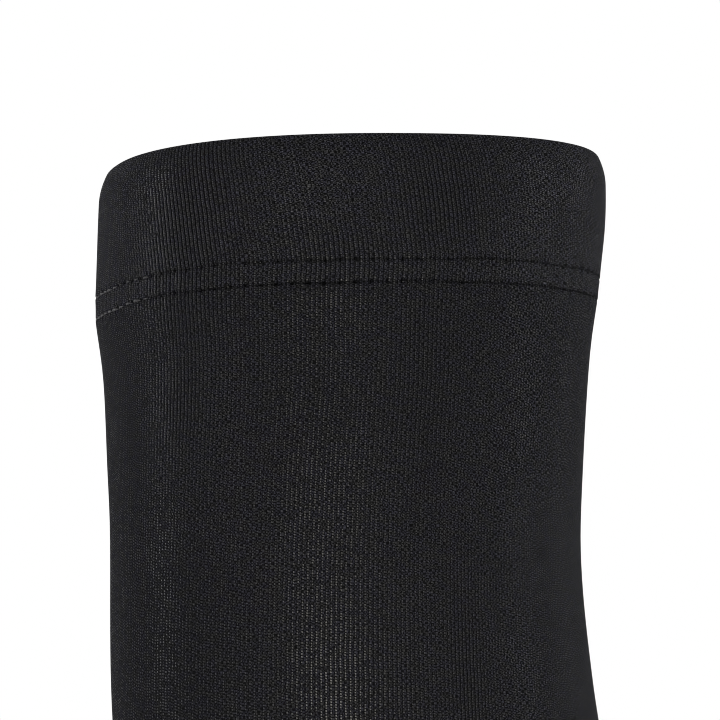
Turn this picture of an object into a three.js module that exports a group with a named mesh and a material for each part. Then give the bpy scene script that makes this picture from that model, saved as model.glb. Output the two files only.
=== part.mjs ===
// A compression arm sleeve: a knitted tube worn from the upper arm to the wrist, with the edge of each end
// turned in and sewn down as a hem. Millimetres, +Z up. The origin is on the arm's axis at the upper
// opening, and +X is the side towards which the elbow bends.
import * as THREE from "three";

// Driving dimensions
const sleeveLength = 400; // from fold to fold, along the middle of the arm
const knitThickness = 1; // one layer of cloth
const seamGap = 0.3; // between a hem and the body cloth that it is sewn to
const fullness = 2.3; // of a section round the arm: 2 would be an ellipse, more is fuller at the corners
const elbow = {
  start: 75, // where the bend begins, below the upper fold
  radius: 420, // of the middle of the arm
  bend: THREE.MathUtils.degToRad(18),
};

// Each hem is a turn of cloth held by two parallel rows of stitches.
const upperHemDepth = 30.6; // from the fold to the row further from it
const wristHemDepth = 22;
const rowGap = 4.6; // between the two rows
const hemProud = 0.45; // how far a hem stands out from the body
const rowDip = 0.35; // how far a row of stitches draws the cloth in
const rowReach = 2.2; // how far along the cloth that dip is felt
const outerTail = 1; // outer layer beyond the further row
const turnedTail = 3; // turned-in layer beyond the further row
const rimLean = { inward: 2, over: 9 }; // the rim closes in on the arm

// Faceting
const facetsAround = 56;
const foldFacets = 6;
const bodyRows = 25;

// The outside of the body cloth, by distance from the upper fold. halfDepth lies in the plane of the bend
// and halfBreadth across it, forward moves a section towards +X, and slope, in degrees, raises its +X side.
const sections = [
  { along: 0, halfDepth: 52.2, halfBreadth: 43.9, forward: 1.6, slope: 2.2 },
  { along: 14, halfDepth: 52.4, halfBreadth: 44.0, forward: 1.3, slope: 2.2 },
  { along: 30, halfDepth: 51.6, halfBreadth: 43.3, forward: 0.3, slope: 2.2 },
  { along: 46, halfDepth: 50.2, halfBreadth: 42.1, forward: 0.2, slope: 1.4 },
  { along: 62, halfDepth: 49.3, halfBreadth: 41.4, forward: 0, slope: 0.6 },
  { along: 79, halfDepth: 48.6, halfBreadth: 40.8, forward: 0, slope: 0 },
  { along: 112, halfDepth: 49.6, halfBreadth: 41.8, forward: 0, slope: 0 },
  { along: 142, halfDepth: 50.4, halfBreadth: 43.0, forward: 0, slope: 0 },
  { along: 185, halfDepth: 47.6, halfBreadth: 42.0, forward: 0, slope: 0 },
  { along: 240, halfDepth: 42.0, halfBreadth: 37.8, forward: 0, slope: 0 },
  { along: 300, halfDepth: 35.6, halfBreadth: 31.4, forward: 0, slope: 0 },
  { along: 350, halfDepth: 31.4, halfBreadth: 26.4, forward: 0, slope: 0 },
  { along: 400, halfDepth: 30.0, halfBreadth: 24.4, forward: 0, slope: 0 },
];
const columns = ["halfDepth", "halfBreadth", "forward", "slope"];
const sectionAt = new THREE.CubicInterpolant(
  sections.map((row) => row.along),
  sections.flatMap((row) => columns.map((column) => row[column])),
  columns.length,
);

// The point of the sleeve at a distance along the arm and an angle around it from +X, moved out of the
// body's outside by offset.
function clothPoint(along, around, offset) {
  const [halfDepth, halfBreadth, forward, slope] = sectionAt.evaluate(along);
  const turned = THREE.MathUtils.clamp((along - elbow.start) / elbow.radius, 0, elbow.bend);
  const aboveBend = Math.min(along, elbow.start);
  const belowBend = Math.max(along - elbow.start - elbow.radius * elbow.bend, 0);
  const axisX = elbow.radius * (1 - Math.cos(turned)) + belowBend * Math.sin(turned);
  const axisZ = -aboveBend - elbow.radius * Math.sin(turned) - belowBend * Math.cos(turned);

  const cos = Math.cos(around);
  const sin = Math.sin(around);
  const spread = Math.abs(cos / halfDepth) ** fullness + Math.abs(sin / halfBreadth) ** fullness;
  const reach = spread ** (-1 / fullness);
  const outwards = new THREE.Vector2(
    (Math.sign(cos) * Math.abs((reach * cos) / halfDepth) ** (fullness - 1)) / halfDepth,
    (Math.sign(sin) * Math.abs((reach * sin) / halfBreadth) ** (fullness - 1)) / halfBreadth,
  ).setLength(offset);
  const inPlane = forward + reach * cos + outwards.x;
  const across = reach * sin + outwards.y;
  const tilt = turned + THREE.MathUtils.degToRad(slope);
  return new THREE.Vector3(axisX + inPlane * Math.cos(tilt), across, axisZ + inPlane * Math.sin(tilt));
}

// A closed ring of cloth. The profile of its wall, points of offset and distance along, is turned on a
// plain cylinder, and each point of that ring is then laid on the arm's form.
function clothRing(profile) {
  const cylinderRadius = 50;
  const wall = profile.map(({ along, offset }) => new THREE.Vector2(cylinderRadius + offset, -along));
  const geometry = new THREE.LatheGeometry([...wall, wall[0]], facetsAround);
  const position = geometry.getAttribute("position");
  for (let i = 0; i < position.count; i++) {
    const x = position.getX(i);
    const z = position.getZ(i);
    const point = clothPoint(-position.getY(i), Math.atan2(x, z), Math.hypot(x, z) - cylinderRadius);
    position.setXYZ(i, point.x, point.y, point.z);
  }
  geometry.computeVertexNormals();
  return geometry;
}

// The wall of a hem, by distance from its fold: up the outer layer, over the fold and down the turned-in
// layer, which ends behind the edge of the body cloth.
function hemProfile(hemDepth) {
  const inside = -(2 * knitThickness + seamGap);
  const halfWall = (hemProud - inside) / 2;
  const lean = (depth) => rimLean.inward * Math.max(1 - depth / rimLean.over, 0) ** 2;
  const firstRow = hemDepth - rowGap;
  const outside = [
    { depth: hemDepth + outerTail, offset: hemProud - rowDip },
    { depth: hemDepth, offset: hemProud - rowDip },
    { depth: hemDepth - rowGap / 2, offset: hemProud },
    { depth: firstRow, offset: hemProud - rowDip },
    { depth: firstRow - rowReach, offset: hemProud },
    { depth: (firstRow + rimLean.over) / 2, offset: hemProud },
  ];
  const rimDepths = [1, 0.65, 0.35].map((share) => share * rimLean.over);
  const rim = rimDepths.map((depth) => ({ depth, offset: hemProud - lean(depth) }));
  const fold = [];
  for (let i = 0; i <= foldFacets; i++) {
    const angle = (Math.PI * i) / foldFacets;
    fold.push({
      depth: halfWall * (1 - Math.sin(angle)),
      offset: inside + halfWall * (1 + Math.cos(angle)) - lean(halfWall),
    });
  }
  const innerRim = rimDepths.toReversed().map((depth) => ({ depth, offset: inside - lean(depth) }));
  const turnedLayer = [
    { depth: hemDepth / 2 + rimLean.over / 2, offset: inside },
    { depth: hemDepth + turnedTail, offset: inside },
    { depth: hemDepth + turnedTail, offset: inside + knitThickness },
    { depth: hemDepth + outerTail, offset: inside + knitThickness },
  ];
  return [...outside, ...rim, ...fold, ...innerRim, ...turnedLayer];
}

const upperHemProfile = hemProfile(upperHemDepth).map(({ depth, offset }) => ({ along: depth, offset }));
const wristHemProfile = hemProfile(wristHemDepth)
  .map(({ depth, offset }) => ({ along: sleeveLength - depth, offset }))
  .reverse();

// The single layer between the hems, from the wrist end up its outside and back down its inside.
function bodyProfile() {
  const top = upperHemDepth + outerTail + seamGap;
  const bottom = sleeveLength - wristHemDepth - outerTail - seamGap;
  const outside = [];
  for (let i = 0; i <= bodyRows; i++) {
    outside.push({ along: THREE.MathUtils.lerp(bottom, top, i / bodyRows), offset: 0 });
  }
  const inside = outside.toReversed().map(({ along }) => ({ along, offset: -knitThickness }));
  return [...outside, ...inside];
}

function piece(name, profile, material) {
  const mesh = new THREE.Mesh(clothRing(profile), material);
  mesh.name = name;
  return mesh;
}

const bodyKnit = new THREE.MeshStandardMaterial({ color: 0x242427, roughness: 0.88, metalness: 0 });
const hemKnit = new THREE.MeshStandardMaterial({ color: 0x222225, roughness: 0.9, metalness: 0 });

const armSleeve = new THREE.Group();
armSleeve.add(
  piece("upper_hem", upperHemProfile, hemKnit),
  piece("sleeve_body", bodyProfile(), bodyKnit),
  piece("wrist_hem", wristHemProfile, hemKnit),
);

export default armSleeve;
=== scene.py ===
import math
import bpy
import numpy as np
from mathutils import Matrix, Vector


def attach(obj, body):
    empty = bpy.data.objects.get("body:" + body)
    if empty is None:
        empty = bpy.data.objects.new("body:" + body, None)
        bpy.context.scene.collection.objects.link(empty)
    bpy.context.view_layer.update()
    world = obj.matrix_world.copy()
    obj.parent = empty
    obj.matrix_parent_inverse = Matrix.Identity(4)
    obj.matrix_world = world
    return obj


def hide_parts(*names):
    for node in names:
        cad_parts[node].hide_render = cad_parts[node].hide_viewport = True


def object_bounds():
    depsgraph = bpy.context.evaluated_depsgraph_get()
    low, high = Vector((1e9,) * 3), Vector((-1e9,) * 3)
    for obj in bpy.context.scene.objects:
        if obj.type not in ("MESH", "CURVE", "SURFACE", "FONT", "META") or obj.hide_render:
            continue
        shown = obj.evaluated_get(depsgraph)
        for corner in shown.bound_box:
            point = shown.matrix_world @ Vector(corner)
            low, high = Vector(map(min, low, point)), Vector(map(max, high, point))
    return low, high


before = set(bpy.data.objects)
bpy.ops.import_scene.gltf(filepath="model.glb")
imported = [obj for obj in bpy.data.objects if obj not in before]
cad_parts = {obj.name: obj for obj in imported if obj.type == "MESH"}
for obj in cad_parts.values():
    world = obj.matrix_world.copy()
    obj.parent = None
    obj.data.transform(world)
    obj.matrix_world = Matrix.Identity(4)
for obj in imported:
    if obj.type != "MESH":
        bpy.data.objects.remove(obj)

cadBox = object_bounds()
mm = 0.001
print("frame loaded:", ", ".join(sorted(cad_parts)))

# Form of the sleeve as worn, in millimetres and degrees, the same as the solids have
sleeveForm = {
    "length": 400,         # fold to fold
    "fullness": 2.3,       # 2 is an ellipse, more is fuller at the corners
    "elbowStart": 75,
    "elbowRadius": 420,
    "elbowBend": 18,
    # along, half depth, half breadth, forward, slope
    "sections": (
        (0, 52.2, 43.9, 1.6, 2.2),
        (14, 52.4, 44.0, 1.3, 2.2),
        (30, 51.6, 43.3, 0.3, 2.2),
        (46, 50.2, 42.1, 0.2, 1.4),
        (62, 49.3, 41.4, 0, 0.6),
        (79, 48.6, 40.8, 0, 0),
        (112, 49.6, 41.8, 0, 0),
        (142, 50.4, 43.0, 0, 0),
        (185, 47.6, 42.0, 0, 0),
        (240, 42.0, 37.8, 0, 0),
        (300, 35.6, 31.4, 0, 0),
        (350, 31.4, 26.4, 0, 0),
        (400, 30.0, 24.4, 0, 0),
    ),
}
# The cloth hangs a little lower on one side of the upper hem
clothSag = {
    "most": 0.8,
    "angle": 186,
    "angleReach": 24,
    "along": 29,
    "alongReach": 16,
}
# Steps in which rings and running totals are worked out
fineSteps = {
    "angle": 2880,
    "girth": 720,
    "turn": 1440,
    "along": 2080,
    "pastEnds": 60,        # millimetres
}
sectionTable = np.array(sleeveForm["sections"], float)


def sectionAt(along):  # half depth, half breadth, forward and slope, eased between the table's rows
    place, values = sectionTable[:, 0], sectionTable[:, 1:]
    secant = np.diff(values, axis=0) / np.diff(place)[:, None]
    slope = np.vstack([secant[:1], (secant[1:] + secant[:-1]) / 2, secant[-1:]])
    i = np.clip(np.searchsorted(place, along, side="right") - 1, 0, len(place) - 2)
    step = place[i + 1] - place[i]
    p = (along - place[i]) / step
    easeStart = (2 * p**3 - 3 * p**2 + 1)[..., None] * values[i]
    easeEnd = (3 * p**2 - 2 * p**3)[..., None] * values[i + 1]
    bendStart = ((p**3 - 2 * p**2 + p) * step)[..., None] * slope[i]
    bendEnd = ((p**3 - p**2) * step)[..., None] * slope[i + 1]
    return easeStart + easeEnd + bendStart + bendEnd


def clothPoint(along, around, offset):  # millimetres and radians in, metres out
    along, around, offset = np.broadcast_arrays(*(np.asarray(x, float) for x in (along, around, offset)))
    sag = clothSag
    aside = (np.degrees(around) - sag["angle"] + 180) % 360 - 180
    away = (aside / sag["angleReach"]) ** 2 + ((along - sag["along"]) / sag["alongReach"]) ** 2
    along = along + sag["most"] * np.exp(-away)
    halfDepth, halfBreadth, forward, slope = np.moveaxis(sectionAt(along), -1, 0)

    start = sleeveForm["elbowStart"]
    radius = sleeveForm["elbowRadius"]
    bend = math.radians(sleeveForm["elbowBend"])
    turned = np.clip((along - start) / radius, 0, bend)
    below = np.maximum(along - start - radius * bend, 0)
    axisX = radius * (1 - np.cos(turned)) + below * np.sin(turned)
    axisZ = -np.minimum(along, start) - radius * np.sin(turned) - below * np.cos(turned)

    power = sleeveForm["fullness"]
    cos = np.cos(around)
    sin = np.sin(around)
    reach = (np.abs(cos / halfDepth) ** power + np.abs(sin / halfBreadth) ** power) ** (-1 / power)
    outX = np.sign(cos) * np.abs(reach * cos / halfDepth) ** (power - 1) / halfDepth
    outY = np.sign(sin) * np.abs(reach * sin / halfBreadth) ** (power - 1) / halfBreadth
    scale = offset / np.hypot(outX, outY)
    inPlane = forward + reach * cos + outX * scale
    acrossPlane = reach * sin + outY * scale
    tilt = turned + np.radians(slope)
    x = axisX + inPlane * np.cos(tilt)
    z = axisZ + inPlane * np.sin(tilt)
    return np.stack([x, acrossPlane, z], axis=-1) * mm


def runOf(points):  # distance from the first point to each of them, from point to point
    steps = np.linalg.norm(np.diff(points, axis=0), axis=1)
    return np.concatenate([[0], np.cumsum(steps)])


def aroundAt(along, share):  # angle for a share of the way round, from the far side
    angle = np.linspace(0.25 * math.tau, 1.25 * math.tau, fineSteps["angle"] + 1)
    run = runOf(clothPoint(along, angle, 0))
    return np.interp(share, run / run[-1], angle)


def girthAt(along):  # millimetres round the cloth
    angle = np.linspace(0, math.tau, fineSteps["girth"] + 1)
    return runOf(clothPoint(along, angle, 0))[-1] / mm


# Turned hems, in millimetres, with depth measured from the fold
hemMake = {
    "cloth": 1.0,          # one layer
    "layerGap": 0.3,
    "proud": 0.45,         # of the body
    "rimLean": 1.9,        # the rim closes in
    "rimLeanOver": 6.5,
    "turnedTail": 3.0,     # raw edge inside, past the further row
    "edgeRound": 0.3,
    "layersPart": 0.6,     # past the further row, behind the end of the body
    # past the further row, offset: from there up to the outer layer's end
    "outerEnd": ((0.35, -0.75), (0.3, -0.4)),
    "rowGap": 4.6,
    "rowWander": 0.11,
    "wanderWaves": ((5, 1), (11, 0.8), (23, 0.7)),  # times round, strength
    "pull": (0.65, 1.35),  # least and most of a single stitch
    "grooveDepth": 0.2,
    "grooveReach": 0.22,
    "holeDepth": 0.45,     # needle holes
    "holeReach": 0.4,
    "puckerHeight": 0.12,  # cloth drawn up between the holes
    "puckerReach": 1.9,
    "drawnReach": 3.2,     # loops near the stitches are pulled apart
    # share of the way round, how dark the painted shade of the row's line and its holes is, how far the loops
    # beside it open
    "rowLook": (
        (0, 0.3, 1, 0.5),
        (0.27, 0.4, 0.8, 0.1),
        (0.3, 0.5, 1, 0.2),
        (0.34, 0.4, 1, 0.7),
        (0.38, 0.4, 0.85, 0.45),
        (0.42, 0.4, 0.9, 0.45),
        (0.45, 0.4, 1.2, 0.7),
        (0.5, 0.4, 1.2, 0.7),
        (0.56, 0.7, 0.3, 0.6),
        (0.62, 0.8, 0.2, 0.15),
        (0.75, 0.8, 0.2, 0.1),
        (1, 0.3, 1, 0.5),
    ),
}
upperHem = {
    "name": "upperHem",
    "atWrist": False,
    "depth": 30.6,         # fold to the further row of stitches
    "stitches": 96,
    "columnsPerStitch": 7,
    "seed": 3,
}
wristHem = {
    "name": "wristHem",
    "atWrist": True,
    "depth": 22.0,
    "stitches": 52,
    "columnsPerStitch": 8,
    "seed": 8,
}
hemInside = -(2 * hemMake["cloth"] + hemMake["layerGap"])  # offset of the turned-in layer's inner face


def alongFromFold(hem, depth):
    return sleeveForm["length"] - depth if hem["atWrist"] else depth


def rowWander(hem, row, share):  # rows of stitches are never quite straight
    waves = hemMake["wanderWaves"]
    starts = np.random.default_rng(hem["seed"] + row).uniform(0, math.tau, len(waves))
    turns = math.tau * share
    sway = sum(strength * np.sin(times * turns + start) for (times, strength), start in zip(waves, starts))
    return hemMake["rowWander"] * sway


def rowDents(hem, depth, share):  # what the two rows of stitches do: dents, painted shade in their grooves and holes, drawn loops
    make = hemMake
    count = hem["stitches"]
    rng = np.random.default_rng(hem["seed"])
    stitchLength = girthAt(alongFromFold(hem, hem["depth"])) / count
    phase = share * count
    nearest = np.round(phase)
    fromHole = (phase - nearest) * stitchLength
    place, *looks = np.array(make["rowLook"]).T
    lineShade, holeShade, opening = (np.interp(share, place, look) for look in looks)
    dent = paintedRowShade = drawn = np.zeros(np.broadcast(depth, share).shape)
    for row in range(2):
        pull = rng.uniform(*make["pull"], count)[nearest.astype(int) % count]
        x = depth - (hem["depth"] - row * make["rowGap"] + rowWander(hem, row, share))
        groove = np.exp(-((x / make["grooveReach"]) ** 2))
        hole = np.exp(-(x**2 + fromHole**2) / make["holeReach"] ** 2)
        sunk = make["holeDepth"] * np.minimum(holeShade, 1) * hole
        pucker = make["puckerHeight"] * np.cos(math.tau * phase) * np.exp(-np.abs(x) / make["puckerReach"])
        dent = dent - make["grooveDepth"] * groove - pull * (sunk + pucker)
        # painted shade: the groove line and the needle holes are darkened
        shade = np.maximum(np.minimum(holeShade * pull * hole, 1), lineShade * groove)
        paintedRowShade = np.maximum(paintedRowShade, shade)
        drawn = np.maximum(drawn, opening * np.exp(-((x / make["drawnReach"]) ** 2)))
    return dent, paintedRowShade, drawn


# Meshes from grids of points that close on themselves both ways
def gridFaces(rows, columns):
    i, j = np.meshgrid(np.arange(rows), np.arange(columns), indexing="ij")
    here = i * columns
    ahead = (i + 1) % rows * columns
    beside = (j + 1) % columns
    return np.stack([here + j, here + beside, ahead + beside, ahead + j], axis=-1)


def gridCorners(at):  # values for each face's corners, from a grid with one row and one column more
    return np.stack([at[:-1, :-1], at[:-1, 1:], at[1:, 1:], at[1:, :-1]], axis=2)


def addPiece(name, points, faces, corners, marks):
    mesh = bpy.data.meshes.new(name)
    mesh.from_pydata(points.reshape(-1, 3).tolist(), [], faces.reshape(-1, 4).tolist())
    for layer, values in corners.items():
        mesh.uv_layers.new(name=layer).data.foreach_set("uv", values.ravel().astype(np.float32))
    for mark, values in marks.items():
        layer = mesh.attributes.new(mark, "FLOAT", "POINT")
        layer.data.foreach_set("value", values.ravel().astype(np.float32))
    mesh.polygons.foreach_set("use_smooth", np.ones(len(mesh.polygons), bool))
    mesh.update()
    piece = bpy.data.objects.new(name, mesh)
    bpy.context.scene.collection.objects.link(piece)
    return piece


def clothRing(name, along, around, offset, maps, marks):
    # rows of points run up the outside, over the edge and down the inside
    points = clothPoint(along[:, None], around[None, :], offset)
    corners = {layer: gridCorners(at) for layer, at in maps.items()}
    piece = addPiece(name, points, gridFaces(*offset.shape), corners, marks)
    print(name, len(piece.data.polygons), "faces")
    return piece


# The knit: one loop is one unit of the knit map, one millimetre about one of the fibre map
knitGauge = {
    "wales": 344,          # columns of loops round the sleeve
    "spiral": 39,          # rows of loops that one turn runs down
    # along, millimetres between rows of loops
    "rowPitch": ((0, 0.44), (26, 0.44), (34, 0.5), (60, 0.51), (120, 0.525), (400, 0.5)),
    # along, degrees: how far the columns lean to the right as they go down
    "lean": (
        (0, 10), (20, 10), (25, 8), (27, -3), (44, -3), (54, -5.7),
        (70, -6.7), (80, -5), (84, -2.6), (115, -5), (150, -3), (220, 0),
    ),
    "leanGirthAt": 20,     # along, where that lean is true
    # share of the way round, how much closer than even the columns stand
    "crowding": (
        (0, -0.08), (0.2, -0.05), (0.3, 0), (0.38, -0.08), (0.45, -0.12), (0.5, 0.02),
        (0.55, 0.28), (0.61, 0.44), (0.68, 0.3), (0.78, 0), (0.9, -0.12), (1, -0.08),
    ),
    # along, how much of that crowding
    "crowdingKept": ((0, 0.7), (20, 0.7), (80, 1), (400, 1)),
    # share, width of the strands against the plain ones
    "strandWidth": (
        (0, 1), (0.2, 0.7), (0.27, 0.6), (0.31, 0.9), (0.35, 1.05), (0.5, 1), (0.57, 1.13),
        (0.62, 1.5), (0.66, 2.2), (0.69, 3.6), (0.73, 2), (0.82, 1), (1, 1),
    ),
    "strandsFrom": 0.45,   # share, where strands are counted from
    # share, how far the columns stand apart at least
    "openLeast": ((0, 0), (0.28, 0.02), (0.35, 0.13), (0.57, 0.13), (0.68, 0.03), (0.75, 0), (1, 0)),
    # along, share, reach of each, how far the columns stand apart there
    "openAt": (
        (14, 0.355, 30, 0.045, 1),
        (14, 0.525, 17, 0.045, 0.85),
        (25, 0.46, 8, 0.055, 0.75),
        (53, 0.345, 9, 0.022, 0.8),
        (118, 0.48, 34, 0.06, 0.45),
        (112, 0.545, 26, 0.018, 0.8),
        (48, 0.52, 28, 0.035, 0.4),
    ),
    # the same, how much calmer the grain is
    "calmAt": ((110, 0.335, 40, 0.07, 0.36), (55, 0.43, 25, 0.05, 0.15)),
    # the same, how much darker the cloth is painted there: painted shade
    "paintedShadeAt": ((64, 0.519, 34, 0.022, 0.09), (29, 0.39, 9, 0.05, 0.06)),
}


def tableAt(name, place):
    where, value = np.array(knitGauge[name], float).T
    return np.interp(place, where, value)


def summed(name, place, change):  # running total along the sleeve of a function of a table's values
    past = fineSteps["pastEnds"]
    fine = np.linspace(-past, sleeveForm["length"] + past, fineSteps["along"] + 1)
    total = np.cumsum(change(tableAt(name, fine))) * (fine[1] - fine[0])
    return np.interp(place, fine, total)


def clothMaps(share, along, run):  # for rows (along, run) by columns (share)
    gauge = knitGauge
    share = np.append(share, 1)
    turn = np.linspace(0, 1, fineSteps["turn"] + 1)
    crowding = tableAt("crowding", turn)
    shifted = np.cumsum(crowding - crowding[:-1].mean()) / fineSteps["turn"]
    slide = summed("lean", along, lambda angle: np.tan(np.radians(angle))) / girthAt(gauge["leanGirthAt"])
    place = share[None, :] - slide[:, None]
    across = place + tableAt("crowdingKept", along)[:, None] * np.interp(place % 1, turn, shifted)
    rows = summed("rowPitch", run, lambda pitch: 1 / pitch)
    down = rows[:, None] - gauge["spiral"] * share[None, :]
    knit = np.stack([gauge["wales"] * across, down], axis=-1)

    girth = np.array([girthAt(here) for here in along])
    strands = np.cumsum(1 / tableAt("strandWidth", turn)) / fineSteps["turn"]
    strands = np.interp(share, turn, strands - np.interp(gauge["strandsFrom"], turn, strands))
    fibre = np.stack(np.broadcast_arrays(girth[:, None] * strands[None, :], run[:, None]), axis=-1)
    return {"knit": knit, "fibre": fibre}


def spotsAt(name, share, along):
    mark = np.zeros(np.broadcast(share, along).shape)
    for middle, side, reach, sideReach, most in knitGauge[name]:
        away = ((along - middle) / reach) ** 2 + ((share - side) / sideReach) ** 2
        mark = np.maximum(mark, most * np.exp(-away))
    return mark


def knitMarks(share, along):  # how the knit changes over the cloth, for rows (along) by columns (share)
    share, along = share[None, :], along[:, None]
    least = tableAt("openLeast", share)
    return {
        "paintedRowShade": np.zeros(np.broadcast(share, along).shape),            # painted shade in the rows' grooves and needle holes
        "opened": least + (1 - least) * spotsAt("openAt", share, along),  # 0 closed up, 1 well apart
        "calm": spotsAt("calmAt", share, along),
        # painted shade on the cloth, from the table above
        "paintedShade": spotsAt("paintedShadeAt", share, along),
    }


# Rows of points across a hem's wall, steps in millimetres
hemMesh = {
    "pastRow": 0.1,        # the outer layer's end, past the further row
    "rowStep": 0.2,        # next to the stitches
    "rowReach": 3.0,       # of those steps, from the first row towards the fold
    "wallRows": 10,
    "rimGap": 1.0,         # between the wall's rows and the rim's
    "rimRows": 10,
    "foldRows": 12,
    "innerRimRows": 7,
    "innerRows": 14,
}


def buildHem(hem):
    make, mesh = hemMake, hemMesh
    columns = hem["stitches"] * hem["columnsPerStitch"]
    share = np.arange(columns) / columns
    rim = make["rimLeanOver"]
    half = (make["proud"] - hemInside) / 2

    def wall(depth, side):  # side 1 is the outer face, -1 the inner one, of the doubled cloth
        close = np.maximum(1 - depth / rim, 0)
        slope = 2 * make["rimLean"] * close / rim
        slant = np.hypot(1, slope)
        middle = (make["proud"] + hemInside) / 2 - make["rimLean"] * close**2
        return np.stack([depth - side * half * slope / slant, middle + side * half / slant], axis=-1)

    rowsEnd = hem["depth"] - make["rowGap"] - mesh["rowReach"]
    outside = wall(np.concatenate([
        np.arange(hem["depth"] + mesh["pastRow"], rowsEnd, -mesh["rowStep"]),
        np.linspace(rowsEnd - mesh["rowStep"], rim + mesh["rimGap"], mesh["wallRows"]),
        np.linspace(rim, half, mesh["rimRows"]),
    ]), 1)
    tail = hem["depth"] + make["turnedTail"]
    edge = make["edgeRound"]
    inner = wall(np.concatenate([
        np.linspace(half, rim, mesh["innerRimRows"]),
        np.linspace(rim, tail - edge, mesh["innerRows"])[1:],
    ]), -1)
    turn = np.linspace(0, math.pi, mesh["foldRows"] + 2)[1:-1, None]
    centre = (outside[-1] + inner[0]) / 2
    spoke = (outside[-1] - inner[0]) / 2
    fold = centre + spoke * np.cos(turn) + np.array([-spoke[1], spoke[0]]) * np.sin(turn)
    back = hemInside + make["cloth"]
    end = [(tail, hemInside + edge), (tail, back - edge), (tail - edge, back)]
    end += [(hem["depth"] + make["layersPart"], back)]
    end += [(hem["depth"] + past, offset) for past, offset in make["outerEnd"]]

    profile = np.concatenate([outside, fold, inner, end])
    depth = profile[:, 0]
    offset = np.repeat(profile[:, 1:], columns, axis=1)
    along = alongFromFold(hem, depth)
    marks = knitMarks(share, along)
    outer = len(outside)
    dent, paintedRowShade, drawn = rowDents(hem, depth[:outer, None], share[None, :])
    offset[:outer] += dent
    marks["paintedRowShade"][:outer] = paintedRowShade
    marks["opened"][:outer] = np.maximum(marks["opened"][:outer], drawn)
    run = depth[0] - runOf(np.append(profile, profile[:1], axis=0))
    maps = clothMaps(share, alongFromFold(hem, np.append(depth, depth[0])), alongFromFold(hem, run))
    around = aroundAt(alongFromFold(hem, hem["depth"]), share)
    if hem["atWrist"]:  # the mirrored wall runs the other way
        along, offset = along[::-1], offset[::-1]
        maps = {layer: at[::-1] for layer, at in maps.items()}
        marks = {mark: values[::-1] for mark, values in marks.items()}
    return clothRing(hem["name"], along, around, offset, maps, marks)


bodyMake = {
    "columns": 480,
    "pastRow": 0.15,       # from the further row of each hem to the body's end
    "rowStep": 3.4,        # millimetres between rows of the mesh
    "edgeStep": 0.2,       # and next to the hems
    "edgeReach": 3.5,
    "insideStep": 8.0,
    "easeReach": 6.5,      # out to the hem's thickness
    "drawn": 0.5,          # loops pulled apart by the stitches, against those of the hem
    "unevenness": 0.06,
    "unevenWaves": ((3, 31), (2, 19)),  # times round, millimetres along
}


def buildBody():
    make = bodyMake
    top = upperHem["depth"] + make["pastRow"]
    bottom = sleeveForm["length"] - wristHem["depth"] - make["pastRow"]
    share = np.arange(make["columns"]) / make["columns"]
    fine = np.arange(0, make["edgeReach"], make["edgeStep"])
    middle = np.arange(top + make["edgeReach"], bottom - make["edgeReach"], make["rowStep"])
    outside = np.concatenate([top + fine, middle, (bottom - fine)[::-1]])[::-1]
    inside = np.append(np.arange(top, bottom, make["insideStep"]), bottom)
    along = np.concatenate([outside, inside])
    outer = len(outside)
    offset = np.zeros((len(along), make["columns"]))
    offset[outer:] = -hemMake["cloth"]
    marks = knitMarks(share, along)
    paintedRowShade, opened = marks["paintedRowShade"], marks["opened"]
    for hem, depth in ((upperHem, outside), (wristHem, sleeveForm["length"] - outside)):
        dent, shade, drawn = rowDents(hem, depth[:, None], share[None, :])
        near = np.exp(-(((depth - hem["depth"]) / make["easeReach"]) ** 2))
        offset[:outer] += dent + hemMake["proud"] * near[:, None]
        paintedRowShade[:outer] = np.maximum(paintedRowShade[:outer], shade)
        opened[:outer] = np.maximum(opened[:outer], make["drawn"] * drawn)
    turns = math.tau * share[None, :]
    sway = make["unevenness"]
    for times, length in make["unevenWaves"]:
        sway = sway * np.sin(times * turns + outside[:, None] / length)
    offset[:outer] += sway
    closed = np.append(along, along[0])
    maps = clothMaps(share, closed, closed)
    around = aroundAt(upperHem["depth"], share)
    return clothRing("sleeveBody", along, around, offset, maps, marks)


# Cover stitching: needle threads outside, looper thread over the raw edge inside
threadMake = {
    "sides": 8,
    "pointsPerStitch": 12,
    "twistPitch": 0.55,
}
needleMake = {
    "radius": 0.2,
    "swell": 0.4,          # of a stitch that stands out
    "dive": 1.2,           # into the needle hole
    "archPower": 0.95,
    # share of the way round, middle of a stitch above the bottom of its groove
    "rise": (
        (0, 0), (0.2, 0.1), (0.23, 0.16), (0.26, 0.2), (0.29, 0.18), (0.32, 0.06),
        (0.34, -0.16), (0.55, -0.16), (0.58, -0.24), (0.75, -0.24), (1, 0),
    ),
    "riseVaries": 0.05,
    "riseSeed": 20,
    "firstRowSunk": 0.05,  # deeper than the row further from the fold
}
looperMake = {
    "radius": 0.2,
    "sharpness": 0.92,     # of the turns, from 0 to below 1
    "pastRows": 0.5,
    "skew": 0.0012,        # share of the way round
    "standsOff": 0.7,      # of its radius, from the inner face
}


def unit(vectors):
    return vectors / np.linalg.norm(vectors, axis=-1, keepdims=True)


def stitchPlaces(hem):  # share of the way round, and stitches passed, at each point of a thread
    count = hem["stitches"] * threadMake["pointsPerStitch"]
    share = np.arange(count) / count
    return share, share * hem["stitches"]


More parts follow.
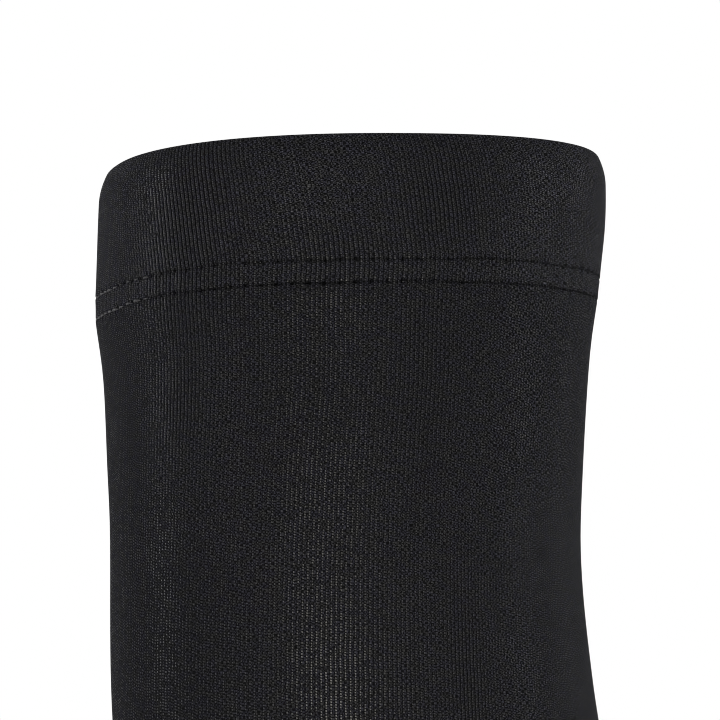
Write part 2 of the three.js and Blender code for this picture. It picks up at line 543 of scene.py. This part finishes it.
def threadRing(name, along, around, offset, radius, sunk):
    sides = threadMake["sides"]
    path = clothPoint(along, around, offset)
    outward = clothPoint(along, around, 1) - clothPoint(along, around, 0)
    tangent = unit(np.roll(path, -1, axis=0) - np.roll(path, 1, axis=0))
    across = unit(np.cross(unit(outward), tangent))
    lift = np.cross(tangent, across)
    angle = (np.arange(sides) * math.tau / sides)[None, :, None]
    spokes = np.cos(angle) * across[:, None, :] + np.sin(angle) * lift[:, None, :]
    points = path[:, None, :] + np.reshape(radius, (-1, 1, 1)) * mm * spokes
    run = runOf(np.append(path, path[:1], axis=0)) / mm
    turns = run[:, None] / threadMake["twistPitch"]
    twist = np.stack(np.broadcast_arrays(turns, np.arange(sides + 1) / sides), axis=-1)
    faces = gridFaces(len(path), sides)[..., ::-1]  # so that they face out
    corners = {"twist": gridCorners(twist)[:, :, ::-1]}
    return addPiece(name, points, faces, corners, {"sunk": np.repeat(sunk, sides)})


def buildNeedleRow(hem, row):
    make = needleMake
    share, phase = stitchPlaces(hem)
    depth = hem["depth"] - row * hemMake["rowGap"] + rowWander(hem, row, share)
    around = aroundAt(alongFromFold(hem, hem["depth"]), share)
    arch = np.abs(np.sin(math.pi * phase)) ** make["archPower"]
    rng = np.random.default_rng(hem["seed"] + make["riseSeed"] + row)
    own = rng.normal(0, make["riseVaries"], hem["stitches"])[phase.astype(int) % hem["stitches"]]
    rise = np.interp(share, *zip(*make["rise"])) + own - row * make["firstRowSunk"]
    groove = hemMake["proud"] - hemMake["grooveDepth"]
    offset = groove - make["dive"] + (make["dive"] + rise) * arch
    radius = make["radius"] + make["swell"] * np.maximum(rise, 0)
    name = hem["name"] + ("FirstRow" if row else "SecondRow")
    return threadRing(name, alongFromFold(hem, depth), around, offset, radius, 1 - arch)


def buildLooper(hem):
    make = looperMake
    share, phase = stitchPlaces(hem)
    swing = np.arcsin(make["sharpness"] * np.sin(math.tau * phase)) / math.asin(make["sharpness"])
    halfGap = hemMake["rowGap"] / 2
    depth = hem["depth"] - halfGap + (halfGap + make["pastRows"]) * swing
    skewed = share + make["skew"] * np.sin(2 * math.tau * phase)
    around = aroundAt(alongFromFold(hem, hem["depth"]), skewed)
    offset = hemInside - make["standsOff"] * make["radius"]
    sunk = np.zeros(len(share))
    return threadRing(hem["name"] + "Looper", alongFromFold(hem, depth), around, offset, make["radius"], sunk)


# Shader building blocks
def feed(tree, socket, value):
    if isinstance(value, bpy.types.NodeSocket):
        tree.links.new(value, socket)
    else:
        socket.default_value = value


def calc(tree, operation, *values):  # one Math node
    node = tree.nodes.new("ShaderNodeMath")
    node.operation = operation
    for socket, value in zip(node.inputs, values):
        feed(tree, socket, value)
    return node.outputs[0]


def ease(tree, value, low, high):  # 0 below low, 1 above high, smooth between
    node = tree.nodes.new("ShaderNodeMapRange")
    node.interpolation_type = "SMOOTHSTEP"
    feed(tree, node.inputs["Value"], value)
    feed(tree, node.inputs["From Min"], low)
    feed(tree, node.inputs["From Max"], high)
    return node.outputs["Result"]


def blend(tree, kind, share, first, second):  # colours
    node = tree.nodes.new("ShaderNodeMix")
    node.data_type = "RGBA"
    node.blend_type = kind
    feed(tree, node.inputs["Factor"], share)
    feed(tree, node.inputs["A"], first)
    feed(tree, node.inputs["B"], second)
    return node.outputs["Result"]


def parts(tree, kind, value):  # kind XYZ for a vector, Color for a colour
    node = tree.nodes.new("ShaderNodeSeparate" + kind)
    feed(tree, node.inputs[0], value)
    return node.outputs


# How loops and strands lie in both knits
jerseyMake = {
    "sway": (0.1, 2),           # scale and detail of the noise that bends columns and rows
    "rowSway": 2,               # of rows against columns
    "inStep": 0.65,             # how far the loops of open columns lie level with their neighbours
    "groove": (0.4, 0.95),      # where it starts and ends, from the middle of a column to its edge
    "grooveLeast": 0.05,        # shade of a closed one
    "rowsFade": 0.7,            # rows show less where columns open
    "strandBend": (1.1, 0),     # scale and detail
    "strandBendBy": 0.4,        # millimetres
    "grainFade": 0.6,           # grain shows less where columns open
    "looseCells": 1.4,          # loose strands to each plain one
    # open columns lighter: partly looser loops, partly a painted highlight
    "openLiftAndHighlight": 0.3,
    "legShade": 0.8,            # least, between the two legs of a loop
    "legHeight": 0.6,           # the same
    "beadHeight": 0.7,          # least, between one loop and the next
    "openHeight": 0.3,          # least, of a column that opens
    "openRise": 3,              # how fast it gets there
    "glintNarrow": 3,           # times narrower than a column
    "glintAside": 1.3,          # onto the left leg
    "glintAlong": (0.3, 1),     # how it starts and ends on a loop
    "glintAcross": (0.1, 1),
    "glintPower": 2,            # higher leaves fewer bright loops
    "glintLeast": 0.2,
    "cloud": (0.035, 3),        # scale and detail
    "tint": (0.3, 1),
    "tintEdge": (0.3, 0.7),
}


def jerseyGroup():
    # loops of yarn from a knit map: columns with a groove between them, rows, and the grain of single strands
    make = jerseyMake
    tree = bpy.data.node_groups.new("jerseyLoops", "ShaderNodeTree")
    sockets = tree.interface
    for name in ("Knit Map", "Fibre Map"):
        sockets.new_socket(name, in_out="INPUT", socket_type="NodeSocketVector")
    for name in ("Opened", "Calm", "Rib", "Row", "Slant", "Grain", "Loose", "Strand", "Wobble"):
        sockets.new_socket(name, in_out="INPUT", socket_type="NodeSocketFloat")
    for name in ("Height", "Level", "Glint", "Cloud", "Tint"):
        sockets.new_socket(name, in_out="OUTPUT", socket_type="NodeSocketFloat")
    given = tree.nodes.new("NodeGroupInput").outputs
    result = tree.nodes.new("NodeGroupOutput").inputs
    opened = given["Opened"]

    def noise(place, scale, detail):
        node = tree.nodes.new("ShaderNodeTexNoise")
        node.noise_dimensions = "2D"
        feed(tree, node.inputs["Vector"], given[place])
        node.inputs["Scale"].default_value = scale
        node.inputs["Detail"].default_value = detail
        return node.outputs

    def chance(x, y):  # an even random number for each whole x and y
        cell = tree.nodes.new("ShaderNodeCombineXYZ")
        feed(tree, cell.inputs[0], calc(tree, "FLOOR", x))
        feed(tree, cell.inputs[1], calc(tree, "FLOOR", y))
        node = tree.nodes.new("ShaderNodeTexWhiteNoise")
        node.noise_dimensions = "2D"
        feed(tree, node.inputs["Vector"], cell.outputs[0])
        return node.outputs["Value"]

    def times(*values):
        total = values[0]
        for value in values[1:]:
            total = calc(tree, "MULTIPLY", total, value)
        return total

    def less(whole, *values):  # whole less the product
        return calc(tree, "SUBTRACT", whole, times(*values))

    def above(least, value):  # 0 to 1 becomes least to 1
        return calc(tree, "MULTIPLY_ADD", value, 1 - least, least)

    def signed(value):  # 0 to 1 becomes -1 to 1
        return calc(tree, "MULTIPLY_ADD", value, 2, -1)

    # columns and rows of loops, each with two legs
    loop = parts(tree, "XYZ", given["Knit Map"])
    sway = parts(tree, "Color", noise("Knit Map", *make["sway"])["Color"])
    swayU = times(calc(tree, "SUBTRACT", sway[0], 0.5), given["Wobble"])
    swayV = times(calc(tree, "SUBTRACT", sway[1], 0.5), given["Wobble"])
    wale = calc(tree, "ADD", loop["X"], swayU)
    course = calc(tree, "MULTIPLY_ADD", swayV, make["rowSway"], loop["Y"])
    outOfStep = less(1, opened, make["inStep"])
    course = calc(tree, "MULTIPLY_ADD", chance(wale, 0.0), outOfStep, course)
    across = signed(calc(tree, "FRACT", wale))
    side = calc(tree, "ABSOLUTE", across)
    stroke = less(course, across, given["Slant"])
    bead = calc(tree, "MULTIPLY_ADD", calc(tree, "COSINE", times(stroke, math.tau)), 0.5, 0.5)
    groove = ease(tree, side, *make["groove"])
    fromLeg = signed(side)
    leg = less(1, fromLeg, fromLeg)
    ribs = less(1, groove, calc(tree, "MULTIPLY_ADD", given["Rib"], opened, make["grooveLeast"]))
    rows = less(1, less(1, bead), given["Row"], less(1, opened, make["rowsFade"]))

    # strands by twos and twos, light beside dark, one way round or the other
    strand = parts(tree, "XYZ", given["Fibre Map"])
    bent = parts(tree, "Color", noise("Fibre Map", *make["strandBend"])["Color"])
    strandU = calc(tree, "MULTIPLY_ADD", bent[0], make["strandBendBy"], strand["X"])
    strandV = calc(tree, "MULTIPLY_ADD", bent[1], make["strandBendBy"], strand["Y"])
    strandU = calc(tree, "DIVIDE", strandU, given["Strand"])
    strandV = calc(tree, "DIVIDE", strandV, given["Strand"])
    places = calc(tree, "ADD", calc(tree, "FLOOR", strandU), calc(tree, "FLOOR", strandV))
    pair = chance(times(strandU, 0.5), times(strandV, 0.5))
    twist = calc(tree, "SIGN", calc(tree, "SUBTRACT", pair, 0.5))
    paired = times(calc(tree, "COSINE", times(places, math.pi)), twist)
    loose = signed(chance(times(strandU, make["looseCells"]), times(strandV, make["looseCells"])))
    fibre = calc(tree, "MULTIPLY_ADD", loose, given["Loose"], paired)
    lively = calc(tree, "SUBTRACT", less(1, opened, make["grainFade"]), given["Calm"])
    grain = calc(tree, "POWER", given["Grain"], times(fibre, lively))

    # open columns are made lighter, partly a painted highlight
    openAndHighlightGain = calc(tree, "MULTIPLY_ADD", opened, make["openLiftAndHighlight"], 1)
    level = times(ribs, rows, grain, openAndHighlightGain, above(make["legShade"], leg))
    stands = calc(tree, "MINIMUM", above(make["openHeight"], opened), times(opened, make["openRise"]))
    crown = times(above(make["legHeight"], leg), above(make["beadHeight"], bead))
    height = times(less(1, groove), crown, stands)

    # glints on the left legs of some loops
    leftLeg = calc(tree, "MULTIPLY_ADD", across, make["glintNarrow"], make["glintAside"])
    onLeg = ease(tree, less(1, leftLeg, leftLeg), *make["glintAcross"])
    dot = times(ease(tree, bead, *make["glintAlong"]), onLeg)
    bright = calc(tree, "POWER", chance(wale, calc(tree, "ADD", stroke, 0.5)), make["glintPower"])
    feed(tree, result["Height"], height)
    feed(tree, result["Level"], level)
    feed(tree, result["Glint"], times(dot, bright, above(make["glintLeast"], opened)))
    feed(tree, result["Cloud"], noise("Knit Map", *make["cloud"])["Fac"])
    feed(tree, result["Tint"], ease(tree, noise("Knit Map", *make["tint"])["Fac"], *make["tintEdge"]))
    return tree


jersey = jerseyGroup()


def startMaterial(name):
    material = bpy.data.materials.new(name)
    material.use_nodes = True
    tree = material.node_tree
    shader = tree.nodes["Principled BSDF"]
    return material, tree, shader


def readMap(tree, name):
    node = tree.nodes.new("ShaderNodeUVMap")
    node.uv_map = name
    return node.outputs["UV"]


def readMark(tree, name):
    node = tree.nodes.new("ShaderNodeAttribute")
    node.attribute_name = name
    return node.outputs["Fac"]


def addBump(tree, shader, height, strength, distance):
    bump = tree.nodes.new("ShaderNodeBump")
    bump.inputs["Strength"].default_value = strength
    bump.inputs["Distance"].default_value = distance * mm
    feed(tree, bump.inputs["Height"], height)
    feed(tree, shader.inputs["Normal"], bump.outputs["Normal"])


bodyLook = {
    "yarn": (0.0160, 0.0160, 0.0171),
    "bluer": (0.0152, 0.0152, 0.0204),  # yarn here and there
    "glint": (0.02, 0.02, 0.018),
    "rib": 0.9,            # shade between open columns
    "row": 0.55,           # shade between rows
    "slant": 0.17,         # of the legs of a loop
    "grain": 2.75,         # light strands against dark ones
    "loose": 0.5,          # strands that fall out of the pattern of twos
    "strand": 0.31,        # width in millimetres
    "wobble": 0.3,         # of the columns, in loops
    "cloud": 0.03,
    "paintedRowShadeStrength": 0.92,  # strength of the painted shade in stitch holes and grooves
    "roughness": 0.85,
    "polish": 0.2,         # smoother on top of the loops
    "bump": 0.8,
    "loopHeight": 0.2,     # millimetres
    "glintCoat": 11.0,
    "coatRoughness": 0.33,
    "specular": 0.06,
}
hemLook = dict(
    bodyLook,
    yarn=(0.0180, 0.0180, 0.0192),
    bluer=(0.0171, 0.0171, 0.0229),
    grain=3.15,
    loose=0.65,
)


def knitMaterial(name, look):
    material, tree, shader = startMaterial(name)
    loops = tree.nodes.new("ShaderNodeGroup")
    loops.node_tree = jersey
    feed(tree, loops.inputs["Knit Map"], readMap(tree, "knit"))
    feed(tree, loops.inputs["Fibre Map"], readMap(tree, "fibre"))
    feed(tree, loops.inputs["Opened"], readMark(tree, "opened"))
    feed(tree, loops.inputs["Calm"], readMark(tree, "calm"))
    for socket in ("Rib", "Row", "Slant", "Grain", "Loose", "Strand", "Wobble"):
        loops.inputs[socket].default_value = look[socket.lower()]
    cloud = calc(tree, "MULTIPLY_ADD", loops.outputs["Cloud"], 2 * look["cloud"], 1 - look["cloud"])
    # painted shade in the rows' grooves and needle holes darkens the colour
    outsideRowShade = calc(tree, "MULTIPLY_ADD", readMark(tree, "paintedRowShade"), -look["paintedRowShadeStrength"], 1)
    # painted shade of the darker band lowers the colour too
    lit = calc(tree, "MULTIPLY", outsideRowShade, calc(tree, "SUBTRACT", 1, readMark(tree, "paintedShade")))
    level = calc(tree, "MULTIPLY", calc(tree, "MULTIPLY", loops.outputs["Level"], cloud), lit)
    shade = tree.nodes.new("ShaderNodeCombineColor")
    for socket in shade.inputs:
        feed(tree, socket, level)
    dyed = blend(tree, "MIX", loops.outputs["Tint"], (*look["yarn"], 1), (*look["bluer"], 1))
    yarn = blend(tree, "MULTIPLY", 1, dyed, shade.outputs[0])
    glint = calc(tree, "MULTIPLY", loops.outputs["Glint"], outsideRowShade)
    feed(tree, shader.inputs["Base Color"], blend(tree, "ADD", glint, yarn, (*look["glint"], 1)))
    coat = calc(tree, "MULTIPLY", glint, look["glintCoat"])
    feed(tree, shader.inputs["Coat Weight"], calc(tree, "MINIMUM", coat, 1))
    shader.inputs["Coat Roughness"].default_value = look["coatRoughness"]
    rough = calc(tree, "MULTIPLY_ADD", loops.outputs["Height"], -look["polish"], look["roughness"])
    feed(tree, shader.inputs["Roughness"], rough)
    shader.inputs["Specular IOR Level"].default_value = look["specular"]
    addBump(tree, shader, loops.outputs["Height"], look["bump"], look["loopHeight"])
    return material


threadLook = {
    "colour": (0.03, 0.03, 0.034),
    "shade": (0.005, 0.005, 0.006),  # between the plies and down in the holes
    "sunkFade": (0.3, 0.7),          # on the way down
    "roughness": 0.45,
    "polish": 0.12,
    "bump": 0.7,
    "ridge": 0.08,                   # millimetres
    "specular": 0.5,
    "coat": 0.65,
    "coatRoughness": 0.25,
}


def threadMaterial(look):
    material, tree, shader = startMaterial("coverThread")
    twist = parts(tree, "XYZ", readMap(tree, "twist"))
    ply = calc(tree, "MULTIPLY_ADD", twist["Y"], 2, twist["X"])
    ridge = calc(tree, "ABSOLUTE", calc(tree, "SINE", calc(tree, "MULTIPLY", ply, math.pi)))
    shown = calc(tree, "SUBTRACT", 1, ease(tree, readMark(tree, "sunk"), *look["sunkFade"]))
    light = calc(tree, "MULTIPLY", ridge, shown)
    colour = blend(tree, "MIX", light, (*look["shade"], 1), (*look["colour"], 1))
    feed(tree, shader.inputs["Base Color"], colour)
    rough = calc(tree, "MULTIPLY_ADD", ridge, -look["polish"], look["roughness"])
    feed(tree, shader.inputs["Roughness"], rough)
    feed(tree, shader.inputs["Coat Weight"], calc(tree, "MULTIPLY", shown, look["coat"]))
    shader.inputs["Coat Roughness"].default_value = look["coatRoughness"]
    shader.inputs["Specular IOR Level"].default_value = look["specular"]
    addBump(tree, shader, ridge, look["bump"], look["ridge"])
    return material


bodyKnit = knitMaterial("bodyKnit", bodyLook)
hemKnit = knitMaterial("hemKnit", hemLook)
coverThread = threadMaterial(threadLook)
print("materials made")

# Pieces on the frame
sleeveBody = buildBody()
upperHemPiece = buildHem(upperHem)
wristHemPiece = buildHem(wristHem)
cloth = (
    (sleeveBody, "sleeve_body", bodyKnit, "body_knit"),
    (upperHemPiece, "upper_hem", hemKnit, "hem_knit"),
    (wristHemPiece, "wrist_hem", hemKnit, "hem_knit"),
)
for piece, node, material, slot in cloth:
    piece.data.materials.append(material)
    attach(piece, "root")
    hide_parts(node)
stitching = []
for hem in (upperHem, wristHem):
    stitching += [buildNeedleRow(hem, 0), buildNeedleRow(hem, 1), buildLooper(hem)]
for piece in stitching:
    piece.data.materials.append(coverThread)
    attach(piece, "root")
print("pieces dressed:", len(cloth) + len(stitching))

# Pale floor under the wrist end and white room, in metres
stageMake = {
    "floorDrop": 0.012,
    "floorSize": 8.0,
    "floorColour": (0.82, 0.82, 0.82),
    "floorMottle": 0.97,   # of that colour
    "floorGrain": 40,
    "floorRoughness": 0.9,
    "ambient": 0.395,
}


def buildFloor():
    make = stageMake
    low = cadBox[0][2] - make["floorDrop"]
    half = make["floorSize"] / 2
    corners = [(-half, -half, low), (half, -half, low), (half, half, low), (-half, half, low)]
    mesh = bpy.data.meshes.new("paleFloor")
    mesh.from_pydata(corners, [], [(0, 1, 2, 3)])
    floor = bpy.data.objects.new("paleFloor", mesh)
    bpy.context.scene.collection.objects.link(floor)
    material, tree, shader = startMaterial("paleFloor")
    grain = tree.nodes.new("ShaderNodeTexNoise")
    grain.inputs["Scale"].default_value = make["floorGrain"]
    pale = make["floorColour"]
    mottled = [make["floorMottle"] * value for value in pale]
    colour = blend(tree, "MIX", grain.outputs["Fac"], (*pale, 1), (*mottled, 1))
    feed(tree, shader.inputs["Base Color"], colour)
    shader.inputs["Roughness"].default_value = make["floorRoughness"]
    mesh.materials.append(material)


def buildWorld():
    ambient = stageMake["ambient"]
    world = bpy.data.worlds.new("whiteRoom")
    world.use_nodes = True
    tree = world.node_tree
    sky = tree.nodes["Background"]
    path = tree.nodes.new("ShaderNodeLightPath")
    seen = calc(tree, "MULTIPLY_ADD", path.outputs["Is Camera Ray"], 1 - ambient, ambient)
    sky.inputs["Color"].default_value = (1, 1, 1, 1)
    feed(tree, sky.inputs["Strength"], seen)
    bpy.context.scene.world = world


lightMake = {
    "wellBack": 0.5,       # metres out; nearer softboxes shine level
    "aimHeight": -0.08,    # of those that stand well back
    "greenLoss": 0.25,     # of a warm light, against blue
    # name, degrees round from the front, metres out, height, width, tall, watts, warmth
    "softboxes": (
        ("lowFront", -8, 0.24, -0.11, 0.1, 0.06, 0.147, 0.15),
        ("highFront", -20, 0.85, 0.1, 0.12, 0.25, 0.31, 0.15),
        ("leftFront", -47, 0.85, -0.2, 0.12, 0.25, 0.25, 0),
        ("rightSide", 67, 0.9, 0.1, 0.3, 0.5, 1.05, 0),
        ("rightRear", 100, 0.9, 0.1, 0.3, 0.5, 0.75, 0),
        ("leftSide", -65, 0.9, 0.1, 0.3, 0.5, 0.25, 0),
        ("leftRear", -105, 0.9, 0.1, 0.3, 0.5, 1.5, 0),
        ("rear", 165, 0.9, 0.2, 0.5, 0.5, 0.9, 0),
    ),
}


def buildLights():
    make = lightMake
    for name, degrees, out, height, width, tall, watts, warmth in make["softboxes"]:
        light = bpy.data.lights.new(name, "AREA")
        light.shape = "RECTANGLE"
        light.size = width
        light.size_y = tall
        light.energy = watts
        light.color = (1, 1 - make["greenLoss"] * warmth, 1 - warmth)
        holder = bpy.data.objects.new(name, light)
        turn = math.radians(degrees)
        holder.location = (out * math.sin(turn), -out * math.cos(turn), height)
        aim = Vector((0, 0, height if out < make["wellBack"] else make["aimHeight"]))
        holder.rotation_euler = (aim - holder.location).to_track_quat("-Z", "Y").to_euler()
        holder.visible_camera = False
        bpy.context.scene.collection.objects.link(holder)


cameraMake = {
    "azimuth": -15.0,      # degrees from the front of the frame
    "pitch": 7.7,          # degrees up from level
    "distance": 1300,      # millimetres, as the next two
    "aimRight": 3.05,
    "aimHeight": -41.0,
    "pixelsPerMm": 4.8,
    "photoWidth": 720,
    "sensor": 36,
    "clipEnd": 50,         # metres
}


def buildCamera():
    make = cameraMake
    azimuth = math.radians(make["azimuth"])
    pitch = math.radians(make["pitch"])
    right = Vector((math.cos(azimuth), math.sin(azimuth), 0))
    level = Vector((-math.sin(azimuth), math.cos(azimuth), 0))
    sight = level * math.cos(pitch) + Vector((0, 0, 1)) * math.sin(pitch)
    aim = (right * make["aimRight"] + Vector((0, 0, make["aimHeight"]))) * mm
    camera = bpy.data.objects.new("photoCamera", bpy.data.cameras.new("photoCamera"))
    camera.data.sensor_width = make["sensor"]
    camera.data.lens = make["pixelsPerMm"] * make["distance"] * make["sensor"] / make["photoWidth"]
    camera.data.clip_end = make["clipEnd"]
    camera.location = aim - sight * make["distance"] * mm
    camera.rotation_euler = sight.to_track_quat("-Z", "Y").to_euler()
    bpy.context.scene.collection.objects.link(camera)
    bpy.context.scene.camera = camera


buildFloor()
buildWorld()
buildLights()
buildCamera()
bpy.context.scene.view_settings.view_transform = "Standard"
bpy.context.scene.cycles.filter_width = 1.0  # crisp pixels
print("stage set")
